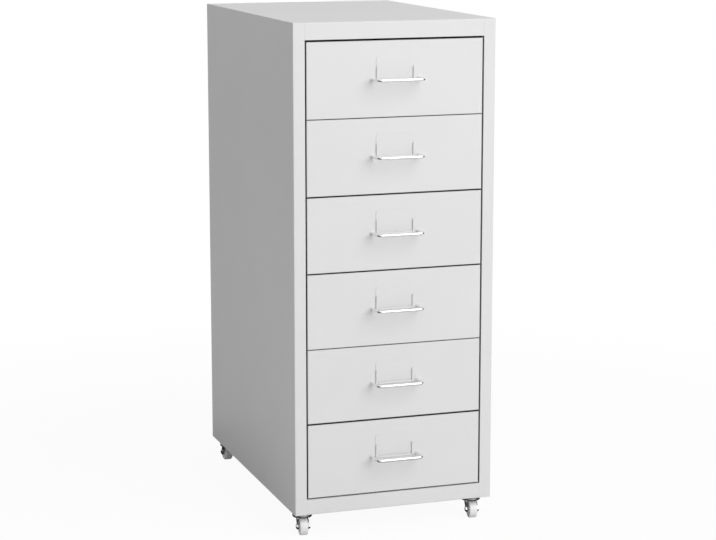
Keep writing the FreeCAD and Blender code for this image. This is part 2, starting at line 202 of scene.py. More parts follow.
def grain(board, place, scale, detail=2.0, roughness=0.5, stretch=None):
    """Noise of so many lumps a metre, from nought to one."""
    if stretch:
        place = board.add("Mapping", None, {"Vector": place, "Scale": stretch}).out()
    inputs = {"Vector": place, "Scale": scale, "Detail": detail, "Roughness": roughness}
    return board.add("TexNoise", None, inputs).out("Fac")


def tinted(board, mask, low, high):
    """A colour between two others, by a mask."""
    settings = {"data_type": "RGBA"}
    return board.add("Mix", settings, {"Factor": mask, "A": (*low, 1), "B": (*high, 1)}).out("Result")


def shaded(colour, share):
    """A colour made darker or lighter by a share."""
    return tuple(channel * share for channel in colour)


def surfaced(material, board, height, depth, inputs):
    """Ends a material in a Principled surface with a bump."""
    bump = board.add("Bump", None, {"Height": height, "Distance": depth}).out()
    surface = board.add("BsdfPrincipled", None, {**inputs, "Normal": bump}).out()
    board.add("OutputMaterial", {"target": "ALL"}, {"Surface": surface})
    return material


def painted_gap_shade(board, place, tone, drift, colour, shade):
    """A tone with painted shade behind the front plane, where ambient occlusion finds another sheet near."""
    near, rays = 0.006, 16
    shut, free = 0.35, 0.95
    start, full = front_plane + 0.0001, front_plane + 0.0008
    openness = board.add("AmbientOcclusion", {"samples": rays}, {"Distance": near}).out("AO")
    depth = board.add("SeparateXYZ", None, {"Vector": place}).out("Y")
    behind = (1 - openness.ramp(shut, free)) * depth.ramp(start, full)
    # Painted shade for the gaps: the paint darkened by the gap shade.
    gap_shadow_tone = tinted(board, drift, shaded(colour, shade), shaded(colour, shade * 0.8))
    mix = {"Factor": behind, "A": tone, "B": gap_shadow_tone}
    return board.add("Mix", {"data_type": "RGBA"}, mix).out("Result")


def powder_coat(name, finish, gap_shade):
    """Satin powder coat: fine orange peel over a faint drift in colour and gloss.

    Where two sheets stand close together it is darkened with painted shade, by the gap shade.
    """
    material, board, place = finish_board(name)
    drift = grain(board, place, 9)
    peel = grain(board, place, 900, 1) * 0.6 + grain(board, place, 2600, 1) * 0.4
    speck = grain(board, place, 5200, 0).ramp(0.70, 0.78)
    tone = tinted(board, drift.ramp(0.3, 0.7) - speck * 0.5, shaded(finish.colour, 0.985), finish.colour)
    # Painted shade in the gaps round the fronts.
    if gap_shade < 1:
        tone = painted_gap_shade(board, place, tone, drift, finish.colour, gap_shade)
    gloss = grain(board, place, 38, 3) * 0.07 + (finish.roughness - 0.035)
    inputs = {"Base Color": tone, "Roughness": gloss, "Metallic": 0.0, "Specular IOR Level": 0.45}
    return surfaced(material, board, peel, 0.00003, inputs)


def bright_chrome(name, colour, blur, depth):
    """Plated steel: a mirror with faint wiping marks, and a fine drawn grain under the plating."""
    material, board, place = finish_board(name)
    wiped = grain(board, place, 130, 4, 0.6)
    drawn = grain(board, place, 1400, 2, 0.5, (0.12, 1.0, 1.0))
    tone = tinted(board, wiped.ramp(0.35, 0.75), shaded(colour, 0.96), colour)
    gloss = wiped.ramp(0.45, 0.9) * blur + blur * 0.7
    return surfaced(material, board, drawn, depth, {"Base Color": tone, "Roughness": gloss, "Metallic": 1.0})


def zinc_plate(name, colour):
    """Bright zinc on pressings and screws, with its faint crystals and a duller bloom."""
    material, board, place = finish_board(name)
    cells = {"Vector": place, "Scale": 420.0}
    crystals = board.add("TexVoronoi", {"feature": "SMOOTH_F1"}, cells).out("Distance")
    bloom = grain(board, place, 160, 4, 0.6)
    tone = tinted(board, bloom.ramp(0.3, 0.8), shaded(colour, 0.9), colour)
    gloss = crystals * 0.12 + bloom * 0.14 + 0.14
    inputs = {"Base Color": tone, "Roughness": gloss, "Metallic": 1.0}
    return surfaced(material, board, crystals + bloom, 0.00002, inputs)


def moulded_plastic(name, colour):
    """Hard pale plastic of the wheels: a fine moulded grain, and scuffs where it runs."""
    material, board, place = finish_board(name)
    skin = grain(board, place, 1500, 2)
    scuff = grain(board, place, 260, 5, 0.65).ramp(0.52, 0.72)
    tone = tinted(board, scuff, colour, shaded(colour, 0.9))
    gloss = scuff * 0.12 + skin * 0.08 + 0.34
    inputs = {"Base Color": tone, "Roughness": gloss, "Specular IOR Level": 0.5}
    return surfaced(material, board, skin, 0.00003, inputs)


def made_once(name, maker, *values):
    """A material by its name, made the first time it is asked for."""
    return bpy.data.materials.get(name) or maker(name, *values)


def paint(context):
    # The carcass's sheets get no painted gap shade.
    no_gap_shade = 1.0
    return made_once("powder_coat", powder_coat, context.scene.cabinet_paint, no_gap_shade)


def front_paint(context):
    finish = context.scene.cabinet_paint
    return made_once("powder_coat_of_fronts", powder_coat, finish, finish.gap_shade)


def chrome(context):
    metal = context.scene.cabinet_metal
    blur, depth = 0.07, 0.000004
    return made_once("handle_chrome_plate", bright_chrome, tuple(metal.chrome), blur, depth)


# The forks' chrome has a base colour far below the handles' chrome: painted dark reflection.
def fork_chrome_painted_dark(context):
    metal = context.scene.cabinet_metal
    blur, depth = 0.16, 0.00001
    return made_once("fork_chrome_plate", bright_chrome, tuple(metal.fork), blur, depth)


def zinc(context):
    return made_once("bright_zinc_plate", zinc_plate, tuple(context.scene.cabinet_metal.zinc))


def plastic(context):
    return made_once("moulded_wheel_plastic", moulded_plastic, tuple(context.scene.cabinet_metal.wheel))


def place_piece(name, mesh, material, body, slot, *nodes, smooth=30.0):
    """Links a finished mesh as a piece that rides on a body, in place of the nodes it is given.

    Edges sharper than smooth, in degrees, stay sharp. With None the mesh keeps the normals that it has.
    """
    mesh.name = name
    mesh.materials.clear()
    mesh.materials.append(material)
    if smooth:
        mesh.shade_smooth()
        mesh.set_sharp_from_angle(angle=math.radians(smooth))
    piece = bpy.data.objects.new(name, mesh)
    bpy.context.scene.collection.objects.link(piece)
    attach(piece, body)
    if nodes:
        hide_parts(*nodes)
    return piece


def evaluated_mesh(source, *modifiers):
    """The mesh that an object has after its modifiers, with the object taken away."""
    for kind, settings in modifiers:
        modifier = source.modifiers.new(kind.title(), kind)
        for name, value in settings.items():
            setattr(modifier, name, value)
    graph = bpy.context.evaluated_depsgraph_get()
    mesh = bpy.data.meshes.new_from_object(source.evaluated_get(graph))
    bpy.data.objects.remove(source)
    return mesh


def grown_mesh(name, data, tree, values):
    """The mesh that a geometry tree grows from a mesh or curve, with values for its named inputs."""
    source = bpy.data.objects.new(name, data)
    bpy.context.scene.collection.objects.link(source)
    modifier = source.modifiers.new("Grow", "NODES")
    modifier.node_group = tree
    for item in tree.interface.items_tree:
        if item.item_type == "SOCKET" and item.in_out == "INPUT" and item.name in values:
            modifier[item.identifier] = values[item.name]
    return evaluated_mesh(source)


def geometry_tree(name, sizes):
    """A geometry tree with named inputs, its board and the signals of its inputs."""
    tree = bpy.data.node_groups.new(name, "GeometryNodeTree")
    tree.interface.new_socket("Geometry", in_out="INPUT", socket_type="NodeSocketGeometry")
    for size, kind in sizes.items():
        tree.interface.new_socket(size, in_out="INPUT", socket_type="NodeSocket" + kind)
    tree.interface.new_socket("Geometry", in_out="OUTPUT", socket_type="NodeSocketGeometry")
    board = Board(tree, "GeometryNode")
    return tree, board, board.add("NodeGroupInput").out


def end_tree(board, geometry, material):
    """Realizes what a tree has made, gives it its material and ends the tree."""
    real = board.add("RealizeInstances", None, {"Geometry": geometry}).out()
    dressed = board.add("SetMaterial", None, {"Geometry": real, "Material": material}).out()
    board.add("NodeGroupOutput", None, {"Geometry": dressed})


def plain_mesh(shape):
    """The mesh of an edit mesh, which is freed."""
    mesh = bpy.data.meshes.new("piece")
    shape.to_mesh(mesh)
    shape.free()
    return mesh


def mesh_of(shape):
    """A mesh from an edit mesh, with doubles merged and its faces turned outwards."""
    bmesh.ops.remove_doubles(shape, verts=shape.verts, dist=1e-7)
    bmesh.ops.recalc_face_normals(shape, faces=shape.faces)
    return plain_mesh(shape)


def rounding(width, segments, angle):
    """A modifier that rounds the edges that turn by more than an angle, in degrees."""
    limit = {"limit_method": "ANGLE", "angle_limit": math.radians(angle)}
    return "BEVEL", {"width": width, "segments": segments, **limit}


def scratch_object(mesh):
    """An unfinished mesh as an object that modifiers can work on."""
    source = bpy.data.objects.new("unfinished", mesh)
    bpy.context.scene.collection.objects.link(source)
    return source


def turned(shape, outline, steps, matrix=Matrix(), closed=False):
    """Turns an outline of (radius, height) points about Z into an edit mesh, and moves it by a matrix.

    A closed outline also joins its last point to its first.
    """
    rings = []
    for radius, height in outline:
        count = steps if radius > 0 else 1
        angles = [math.tau * step / steps for step in range(count)]
        rings.append([shape.verts.new(matrix @ Vector((radius * math.cos(a), radius * math.sin(a), height)))
                      for a in angles])
    pairs = list(zip(rings, rings[1:]))
    if closed:
        pairs.append((rings[-1], rings[0]))
    for low, high in pairs:
        for step in range(steps):
            here, after = step, (step + 1) % steps
            corners = [low[here % len(low)], low[after % len(low)],
                       high[after % len(high)], high[here % len(high)]]
            corners = list(dict.fromkeys(corners))
            if len(corners) > 2:
                shape.faces.new(corners)


def arc_points(centre, radius, start, end, steps):
    """Points along an arc, with its angles in degrees."""
    angles = [math.radians(start + (end - start) * step / steps) for step in range(steps + 1)]
    return [(centre[0] + radius * math.cos(a), centre[1] + radius * math.sin(a)) for a in angles]


def plate_of(shape, outline, lift, thickness, matrix=Matrix()):
    """Adds a flat plate from an outline to an edit mesh, from a height up by its thickness."""
    low = [shape.verts.new(matrix @ Vector((x, y, lift))) for x, y in outline]
    high = [shape.verts.new(matrix @ Vector((x, y, lift + thickness))) for x, y in outline]
    shape.faces.new(low[::-1])
    shape.faces.new(high)
    for i in range(len(outline)):
        j = (i + 1) % len(outline)
        shape.faces.new((low[i], low[j], high[j], high[i]))


def rounded_corners(width, height, radii):
    """Outline of a plate about its middle. Its corner radii go anticlockwise from the lower left."""
    outline = []
    signs = ((-1, -1), (1, -1), (1, 1), (-1, 1))
    for quarter, ((sx, sy), radius) in enumerate(zip(signs, radii)):
        centre = (sx * (width / 2 - radius), sy * (height / 2 - radius))
        start = 180 + 90 * quarter
        outline += arc_points(centre, radius, start, start + 90, corner_steps) if radius else [centre]
    return outline


def length(name, description, default):
    """A property that holds a length in metres."""
    return FloatProperty(name=name, description=description, default=default, unit="LENGTH", min=0)


def tint(name, description, default):
    """A property that holds a colour."""
    return FloatVectorProperty(name=name, description=description, default=default, subtype="COLOR",
                               min=0, max=1)


class PaintFinish(PropertyGroup):
    """The coat on the carcass, the drawers and the label holders."""

    colour: tint("Paint", "Colour of the powder coat", (0.745, 0.745, 0.745))
    roughness: FloatProperty(name="Roughness", description="How dull the coat is", subtype="FACTOR",
                             default=0.42, min=0, max=1)
    edge_round: length("Edge rounding", "Radius of the coat over sheet edges", 0.00022)
    gap_shade: FloatProperty(name="Gap shade", subtype="FACTOR", default=0.03, min=0, max=1,
                             description="Share of the colour left in the gaps round the fronts")


class MetalFinish(PropertyGroup):
    """Colours of the bare metal and plastic pieces."""

    chrome: tint("Chrome", "Colour of the handles' plating", (0.88, 0.88, 0.89))
    # The forks' colour is far darker than the handles' chrome: painted dark reflection.
    fork: tint("Forks", "Colour of the forks' plating", (0.33, 0.33, 0.34))
    zinc: tint("Zinc", "Colour of plates and screws", (0.62, 0.62, 0.61))
    wheel: tint("Wheels", "Colour of the wheels' plastic", (0.88, 0.88, 0.88))


class HandleShape(PropertyGroup):
    """The bent wire handles and the screws that hold them."""

    bend: length("Bend", "Bend radius at the middle of the wire", 0.006)
    sides: IntProperty(name="Sides", description="Faces round the wire", default=32, min=8)
    head_height: length("Screw head", "Height of a screw's head", 0.002)
    head_flats: length("Across flats", "Width of a screw's head", 0.0055)
    shank: length("Shank", "Diameter of a screw's shank", 0.003)


class LabelShape(PropertyGroup):
    """The card holder behind each handle."""

    sheet: length("Sheet", "Thickness of the holder's sheet", 0.0006)
    corner: length("Corner", "Radius of the two upper corners", 0.003)
    lip: length("Lip", "Width of the lips that hold the card", 0.003)
    lip_height: length("Lip height", "How far up the side lips reach", 0.019)
    bend: length("Bend", "Outside radius of the folds", 0.0009)
    tab_spacing: length("Tabs", "Distance between the two tabs", 0.03)
    tab_width: length("Tab width", "Width of a tab", 0.005)


class CasterShape(PropertyGroup):
    """The four swivel casters."""

    wheel_width: length("Wheel width", "Width of a wheel", 0.011)
    bore: length("Bore", "Diameter of a wheel's bore", 0.00416)
    fork_sheet: length("Fork sheet", "Thickness of a fork's sheet", 0.0015)
    side_gap: length("Side gap", "Gap between a wheel and a leg", 0.001)
    crown: length("Crown", "Diameter of a fork's crown", 0.0266)
    rim: length("Rim", "Depth of the rim round the crown", 0.0044)
    step: length("Step", "Height over which a leg steps in under the rim", 0.0026)
    foot: length("Foot", "Radius of a leg's foot round the axle", 0.0044)
    shoulder: length("Shoulder", "Outside radius of the bend round the crown", 0.0026)
    axle: length("Axle", "Diameter of an axle bolt", 0.004)
    axle_flats: length("Axle head", "Across flats of an axle bolt's head", 0.006)
    axle_head: length("Axle head height", "Height of an axle bolt's head", 0.0016)
    plate_width: length("Plate width", "Width of a caster plate", 0.032)
    plate_length: length("Plate length", "Length of a caster plate", 0.041)
    plate_sheet: length("Plate sheet", "Thickness of a caster plate", 0.0012)
    race: length("Race", "Diameter of the ball race", 0.028)
    race_height: length("Race height", "Height of the ball race", 0.0026)
    pin: length("Kingpin", "Diameter of the kingpin", 0.005)
    nut_flats: length("Nut", "Across flats of the kingpin's nut", 0.009)
    nut_height: length("Nut height", "Height of the kingpin's nut", 0.0024)


class StudioSetup(PropertyGroup):
    """Camera, lamps and floor."""

    camera_place: FloatVectorProperty(name="Camera", subtype="TRANSLATION",
                                      default=(-0.9183, -2.5524, 0.8383),
                                      description="Place from the middle of the front's lower edge")
    yaw: FloatProperty(name="Yaw", description="Turn to the right", subtype="ANGLE",
                       default=math.radians(18.75))
    pitch: FloatProperty(name="Pitch", description="Tilt down", subtype="ANGLE", default=math.radians(10.70))
    lens: FloatProperty(name="Lens", description="Focal length in millimetres", default=104.67, min=1)
    ambient: FloatProperty(name="Ambient", description="Strength of the light from all round", default=0.41)
    key: FloatProperty(name="Key", description="Power of the front lamp in watts", default=95.0)
    top: FloatProperty(name="Top", description="Power of the lamp above in watts", default=3.0)


class CABINET_OT_coat_sheets(Operator):
    """Coats every painted sheet of the carcass and the drawers"""

    bl_idname = "cabinet.coat_sheets"
    bl_label = "Coat the sheets"

    def execute(self, context):
        coat = paint(context)
        for name in painted_nodes:
            mesh = frame["nodes"][name].data
            mesh.materials.clear()
            mesh.materials.append(coat)
        return {"FINISHED"}


def softened(node, radius):
    """A copy of a node's mesh with its flat faces joined and its sharp edges rounded."""
    shape = bmesh.new()
    shape.from_mesh(frame["nodes"][node].data)
    bmesh.ops.remove_doubles(shape, verts=shape.verts, dist=1e-6)
    bmesh.ops.dissolve_limit(shape, angle_limit=math.radians(1), verts=shape.verts, edges=shape.edges)
    for face in shape.faces:
        face.smooth = True
    bevel = rounding(width=radius, segments=3, angle=25)
    return evaluated_mesh(scratch_object(plain_mesh(shape)), bevel, weighted_normals)


class CABINET_OT_round_fronts(Operator):
    """Rounds the folded edges of the drawer fronts"""

    bl_idname = "cabinet.round_fronts"
    bl_label = "Round the drawer fronts"

    def execute(self, context):
        radius = context.scene.cabinet_paint.edge_round
        for drawer in drawers:
            node = f"{drawer}_front"
            mesh = softened(node, radius)
            place_piece(f"{drawer}_folded_front", mesh, front_paint(context), drawer, "body_paint", node,
                        smooth=None)
        return {"FINISHED"}


def folded_strip(shape, skin, low, high, sheet, bend, matrix=Matrix()):
    """Adds a sheet folded at right angles to an edit mesh, from a height to another.

    Its outer skin runs through (x, y) points and turns left at each corner, with the sheet on its left.
    """
    points = [Vector(point) for point in skin]
    outer, inner = [], []

    def lay(place, way, outside, inside):
        left = Vector((-way.y, way.x))
        outer.append(place - left * outside)
        inner.append(place - left * inside)

    lay(points[0], (points[1] - points[0]).normalized(), 0, -sheet)
    for before, corner, after in zip(points, points[1:], points[2:]):
        way_in = (corner - before).normalized()
        way_out = (after - corner).normalized()
        centre = corner + (way_out - way_in) * bend
        for x, y in arc_points((0, 0), 1, 0, 90, corner_steps):
            lay(centre, way_in * x + way_out * y, bend, bend - sheet)
    lay(points[-1], (points[-1] - points[-2]).normalized(), 0, -sheet)
    plate_of(shape, outer + inner[::-1], low, high - low, matrix)


def label_holder(sizes, width, height, depth):
    """Card holder about the middle of its plate: a sheet with two tabs, folded forwards into three lips.

    It faces -Y. The plate's front is a sheet ahead of the drawer front, and the lips reach the full depth.
    """
    upright = Matrix.Rotation(math.radians(90), 4, "X")
    across = Matrix(((0, 0, 1, 0), (1, 0, 0, 0), (0, 1, 0, 0), (0, 0, 0, 1)))
    half, low, high = width / 2, -height / 2, height / 2
    bend, lap = sizes.bend, sizes.bend * 1.5
    lips = low + sizes.lip_height
    tab_reach = sizes.sheet * 4
    shape = bmesh.new()
    head = rounded_corners(width, high - lips, (0, 0, sizes.corner, sizes.corner))
    head = [(x, y + (lips + high) / 2) for x, y in head]
    plate = [*head[1:], head[0], (bend - half, lips), (bend - half, low + bend), (half - bend, low + bend),
             (half - bend, lips)]
    plate_of(shape, plate, 0, sizes.sheet, upright)
    for side in (-1, 1):
        skin = [(half - sizes.lip, -depth), (half, -depth), (half, 0), (half - lap, 0)]
        folded_strip(shape, skin, low + bend, lips, sizes.sheet, bend, Matrix.Scale(side, 4, (1, 0, 0)))
        tab = side * sizes.tab_spacing / 2
        reach, thick = sizes.tab_width / 2, sizes.sheet / 2
        strip = [(tab - reach, -thick), (tab + reach, -thick), (tab + reach, thick), (tab - reach, thick)]
        plate_of(shape, strip, -tab_reach, tab_reach, upright)
    skin = [(-depth, low + sizes.lip), (-depth, low), (0, low), (0, low + lap)]
    reach = half - sizes.lip - sizes.sheet / 2
    folded_strip(shape, skin, -reach, reach, sizes.sheet, bend, across)
    bmesh.ops.recalc_face_normals(shape, faces=shape.faces)
    for face in shape.faces:
        face.smooth = True
    bevel = rounding(width=sizes.sheet / 5, segments=2, angle=50)
    return evaluated_mesh(scratch_object(plain_mesh(shape)), bevel, weighted_normals)


class CABINET_OT_fold_label_holders(Operator):
    """Makes the card holder behind each handle"""

    bl_idname = "cabinet.fold_label_holders"
    bl_label = "Fold the label holders"

    def execute(self, context):
        for drawer in drawers:
            node = f"{drawer}_label_holder"
            low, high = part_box(node)
            sizes = context.scene.cabinet_label
            mesh = label_holder(sizes, high.x - low.x, high.z - low.z, front_plane - low.y)
            mesh.transform(Matrix.Translation(((low.x + high.x) / 2, front_plane, (low.z + high.z) / 2)))
            place_piece(f"{drawer}_card_holder", mesh, paint(context), drawer, "body_paint", node,
                        smooth=None)
        return {"FINISHED"}


def wire_tree(material):
    """Geometry tree that bends a wire along a path, with its ends closed."""
    kinds = {"Wire Diameter": "Float", "Bend Radius": "Float", "Sides": "Int"}
    tree, board, given = geometry_tree("Bent wire", kinds)
    fillet = {"Curve": given("Geometry"), "Radius": given("Bend Radius"), "Count": 10, "Limit Radius": True}
    path = board.add("FilletCurve", {"mode": "POLY"}, fillet).out()
    ring = {"Resolution": given("Sides"), "Radius": given("Wire Diameter") / 2}
    section = board.add("CurvePrimitiveCircle", {"mode": "RADIUS"}, ring).out("Curve")
    swept = {"Curve": path, "Profile Curve": section, "Fill Caps": True}
    end_tree(board, board.add("CurveToMesh", None, swept).out(), material)
    return tree


class CABINET_OT_bend_handles(Operator):
    """Bends the wire handle of each drawer"""

    bl_idname = "cabinet.bend_handles"
    bl_label = "Bend the handles"

    def execute(self, context):
        shape = context.scene.cabinet_handle
        tree = wire_tree(chrome(context))
        for drawer in drawers:
            node = f"{drawer}_handle"
            low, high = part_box(node)
            wire = high.z - low.z
            height = (low.z + high.z) / 2
            left, right = low.x + wire / 2, high.x - wire / 2
            bar, foot = low.y + wire / 2, high.y
            path = bpy.data.curves.new(node, "CURVE")
            path.dimensions = "3D"
            line = path.splines.new("POLY")
            line.points.add(3)
            for point, (x, y) in zip(line.points, ((left, foot), (left, bar), (right, bar), (right, foot))):
                point.co = (x, y, height, 1)
            sizes = {"Wire Diameter": wire, "Bend Radius": shape.bend, "Sides": shape.sides}
            mesh = grown_mesh(node, path, tree, sizes)
            place_piece(f"{drawer}_wire_handle", mesh, chrome(context), drawer, "handle_chrome", node,
                        smooth=50)
        return {"FINISHED"}


def screw_tree(material):
    """Geometry tree for a row of hexagon screws that point to -Y: a chamfered head, washer face and shank."""
    kinds = {"Spacing": "Float", "Across Flats": "Float", "Head Height": "Float", "Shank Diameter": "Float",
             "Shank Length": "Float"}
    tree, board, given = geometry_tree("Hexagon screws", kinds)
    face_share, crown_share = 0.12, 0.22
    corner = given("Across Flats") / (2 * flat_share)
    face = given("Head Height") * face_share
    crown = given("Head Height") * crown_share
    body = given("Head Height") - face - crown

    def lifted(kind, settings, sizes, height):
        solid = board.add(kind, settings, sizes).out("Mesh")
        offset = board.add("CombineXYZ", None, {"Z": height}).out()
        return board.add("Transform", None, {"Geometry": solid, "Translation": offset}).out()

    head = {"Vertices": 6, "Radius": corner, "Depth": body}
    top = {"Vertices": 6, "Radius Top": corner * chamfer_share, "Radius Bottom": corner, "Depth": crown}
    washer = {"Vertices": 32, "Radius": given("Across Flats") / 2, "Depth": face}
    shank = {"Vertices": 24, "Radius": given("Shank Diameter") / 2, "Depth": given("Shank Length")}
    pieces = [lifted("MeshCylinder", None, head, face + body / 2),
              lifted("MeshCone", None, top, face + body),
              lifted("MeshCylinder", None, washer, face / 2),
              lifted("MeshCylinder", None, shank, given("Shank Length") / -2)]
    joined = board.add("JoinGeometry")
    for piece in pieces:
        tree.links.new(piece.socket, joined.node.inputs[0])
    turn = {"Geometry": joined.out(), "Rotation": (math.radians(-90), 0, 0)}
    screw = board.add("Transform", None, turn).out()
    start = board.add("CombineXYZ", None, {"X": given("Spacing") / -2}).out()
    step = board.add("CombineXYZ", None, {"X": given("Spacing")}).out()
    row = board.add("MeshLine", None, {"Count": 2, "Start Location": start, "Offset": step}).out()
    copies = board.add("InstanceOnPoints", None, {"Points": row, "Instance": screw}).out()
    end_tree(board, copies, material)
    return tree


class CABINET_OT_drive_screws(Operator):
    """Drives the two screws of each handle"""

    bl_idname = "cabinet.drive_screws"
    bl_label = "Drive the screws"

    def execute(self, context):
        shape = context.scene.cabinet_handle
        tree = screw_tree(zinc(context))
        for drawer in drawers:
            node = f"{drawer}_handle_screws"
            low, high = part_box(node)
            corner = shape.head_flats / 2 / flat_share
            seat = high.y - shape.head_height
            sizes = {"Spacing": high.x - low.x - corner * 2, "Across Flats": shape.head_flats,
                     "Head Height": shape.head_height, "Shank Diameter": shape.shank,
                     "Shank Length": seat - low.y}
            mesh = grown_mesh(node, bpy.data.meshes.new(node), tree, sizes)
            mesh.transform(Matrix.Translation((0, seat, (low.z + high.z) / 2)))
            place_piece(f"{drawer}_hexagon_screws", mesh, zinc(context), drawer, "bright_zinc", node)
        return {"FINISHED"}


def swivel(caster):
    """Place of a caster on the floor under its swivel axis, turned so that +X is the way it trails."""
    pin = Vector(joints[f"{caster}_turn"]["pos_m"])
    hub = Vector(joints[f"{caster}_roll"]["pos_m"])
    turn = math.atan2(hub.y - pin.y, hub.x - pin.x)
    return Matrix.Translation((pin.x, pin.y, 0)) @ Matrix.Rotation(turn, 4, "Z")


def hub_of(caster):
    """Distance of a wheel's centre behind the swivel axis, and its height."""
    pin = Vector(joints[f"{caster}_turn"]["pos_m"])
    hub = Vector(joints[f"{caster}_roll"]["pos_m"])
    return (hub - pin).to_2d().length, hub.z


def hexagon(shape, flats, start, height, matrix):
    """Adds a hexagon head or nut with a chamfered end to an edit mesh."""
    corner = flats / 2 / flat_share
    chamfer = start + height * 0.72
    end = start + height
    outline = [(0, start), (corner, start), (corner, chamfer), (corner * chamfer_share, end), (0, end)]
    turned(shape, outline, steps=6, matrix=matrix)


def across_axle(x, z):
    """Matrix that lays Z along the axle, about the wheel's centre."""
    return Matrix.Translation((x, 0, z)) @ Matrix.Rotation(math.radians(-90), 4, "X")


def wheel_outline(sizes, radius):
    """Closed section of a wheel in (radius, height) points: bore, hub, sunk web, rim and rounded tread."""
    half = sizes.wheel_width / 2
    tread, tread_steps = 0.0017, 7
    edge, fillet = 0.0003, 0.0008
    rim, hub = radius * 0.74, radius * 0.34
    web = half - 0.0016
    bore = sizes.bore / 2
    side = [(bore, half - edge), (bore + edge, half), (hub - edge, half), (hub, half - edge),
            (hub + fillet / 2, web + fillet / 4), (hub + fillet, web), (rim - fillet, web),
            (rim - edge, web + fillet / 2), (rim, half - fillet / 2), (rim + 0.0005, half - 0.00005),
            (rim + 0.0009, half)]
    side += arc_points((radius - tread, half - tread), tread, 90, 0, tread_steps)
    return side + [(r, -h) for r, h in side[::-1]]


class CABINET_OT_mould_wheels(Operator):
    """Moulds the wheel of each caster"""

    bl_idname = "cabinet.mould_wheels"
    bl_label = "Mould the wheels"

    def execute(self, context):
        sizes = context.scene.cabinet_caster
        half_step = Matrix.Rotation(math.pi / round_steps, 4, "Z")
        for caster in casters:
            x, radius = hub_of(caster)
            shape = bmesh.new()
            # Half a step round, a flat and not a corner of the wheel meets the floor.
            place = swivel(caster) @ across_axle(x, radius) @ half_step
            turned(shape, wheel_outline(sizes, radius), round_steps, place, closed=True)
            place_piece(f"{caster}_moulded_wheel", mesh_of(shape), plastic(context), f"{caster}_roller",
                        "wheel_plastic", f"{caster}_wheel", smooth=35)
        return {"FINISHED"}


def leg_rows(sizes, root, trail, axle, rim_low):
    """Rows of a leg from the rim down: height, how far it has stepped in, and where it starts and ends."""
    # How many rows the bend, the straight below it and the foot have.
    bent, straight, foot = 6, 5, 8
    knee = rim_low - sizes.step
    levels = [(rim_low - sizes.step * n / bent, n / bent) for n in range(1, bent + 1)]
    levels += [(knee - (knee - axle) * n / straight, 1) for n in range(1, straight + 1)]
    rows = []
    for height, inward in levels:
        down = (rim_low - height) / (rim_low - axle)
        half = root + (sizes.foot - root) * down
        rows.append((height, inward * inward * (3 - 2 * inward), trail * down - half, trail * down + half))
    for x, z in arc_points((0, axle), sizes.foot, 0, -90, foot)[1:]:
        rows.append((z, 1, trail - x, trail + x))
    return rows


def pressed_fork(sizes, trail, axle, top):
    """Fork about its swivel axis: a round crown with a rim, and a leg on each side that steps in."""
    around = round_steps
    spread = 5  # Columns of a leg on each side of its middle one.
    pin_gap = 0.0001
    radius = sizes.crown / 2
    bend = sizes.shoulder
    rim_low = top - sizes.rim
    profile = [(sizes.pin / 2 + pin_gap, top), (radius * 0.6, top)]
    profile += arc_points((radius - bend, top - bend), bend, 90, 0, corner_steps)
    profile += [(radius, (top - bend + rim_low) / 2), (radius, rim_low)]
    angles = [math.tau * n / around for n in range(around)]
    shape = bmesh.new()
    rings = [[shape.verts.new((r * math.cos(a), r * math.sin(a), z)) for a in angles] for r, z in profile]
    for inner, outer in zip(rings, rings[1:]):
        for n in range(around):
            after = (n + 1) % around
            shape.faces.new((inner[n], outer[n], outer[after], inner[after]))
    outside = sizes.wheel_width / 2 + sizes.side_gap + sizes.fork_sheet
    root = radius * math.sin(math.tau * spread / around)
    for middle, side in ((around // 4, 1), (around * 3 // 4, -1)):
        columns = range(middle - spread, middle + spread + 1)
        above = [rings[-1][n] for n in columns]
        for height, inward, first, last in leg_rows(sizes, root, trail, axle, rim_low):
            row = []
            for n in columns:
                x, y = radius * math.cos(angles[n]), radius * math.sin(angles[n])
                along = first + (last - first) * (x / root + 1) / 2
                row.append(shape.verts.new((along, y + (side * outside - y) * inward, height)))
            for n in range(len(row) - 1):
                shape.faces.new((above[n], row[n], row[n + 1], above[n + 1]))
            above = row
    bmesh.ops.remove_doubles(shape, verts=shape.verts, dist=1e-6)
    solid = {"thickness": sizes.fork_sheet, "offset": -1.0, "use_even_offset": True}
    bevel = rounding(width=sizes.fork_sheet / 5, segments=2, angle=50)
    return evaluated_mesh(scratch_object(plain_mesh(shape)), ("SOLIDIFY", solid), bevel)


class CABINET_OT_press_forks(Operator):
    """Presses the fork of each caster"""

    bl_idname = "cabinet.press_forks"
    bl_label = "Press the forks"

    def execute(self, context):
        sizes = context.scene.cabinet_caster
        for caster in casters:
            node = f"{caster}_fork"
            trail, axle = hub_of(caster)
            mesh = pressed_fork(sizes, trail, axle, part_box(node)[1].z)
            mesh.transform(swivel(caster))
            place_piece(f"{caster}_pressed_fork", mesh, fork_chrome_painted_dark(context), f"{caster}_swivel",
                        "dark_chrome", node, smooth=32)
        return {"FINISHED"}


class CABINET_OT_bolt_axles(Operator):
    """Puts the axle bolt of each caster through its fork"""

    bl_idname = "cabinet.bolt_axles"
    bl_label = "Bolt the axles"

    def execute(self, context):
        sizes = context.scene.cabinet_caster
        outside = sizes.wheel_width / 2 + sizes.side_gap + sizes.fork_sheet
        for caster in casters:
            trail, axle = hub_of(caster)
            shape = bmesh.new()
            for end in (0, 180):
                bolt = across_axle(trail, axle) @ Matrix.Rotation(math.radians(end), 4, "X")
                hexagon(shape, sizes.axle_flats, outside, sizes.axle_head, bolt)
            shank = [(0, -outside), (sizes.axle / 2, -outside), (sizes.axle / 2, outside), (0, outside)]
            turned(shape, shank, pin_steps, across_axle(trail, axle))
            mesh = mesh_of(shape)
            mesh.transform(swivel(caster))
            place_piece(f"{caster}_axle_bolt", mesh, zinc(context), f"{caster}_swivel", "bright_zinc")
        return {"FINISHED"}


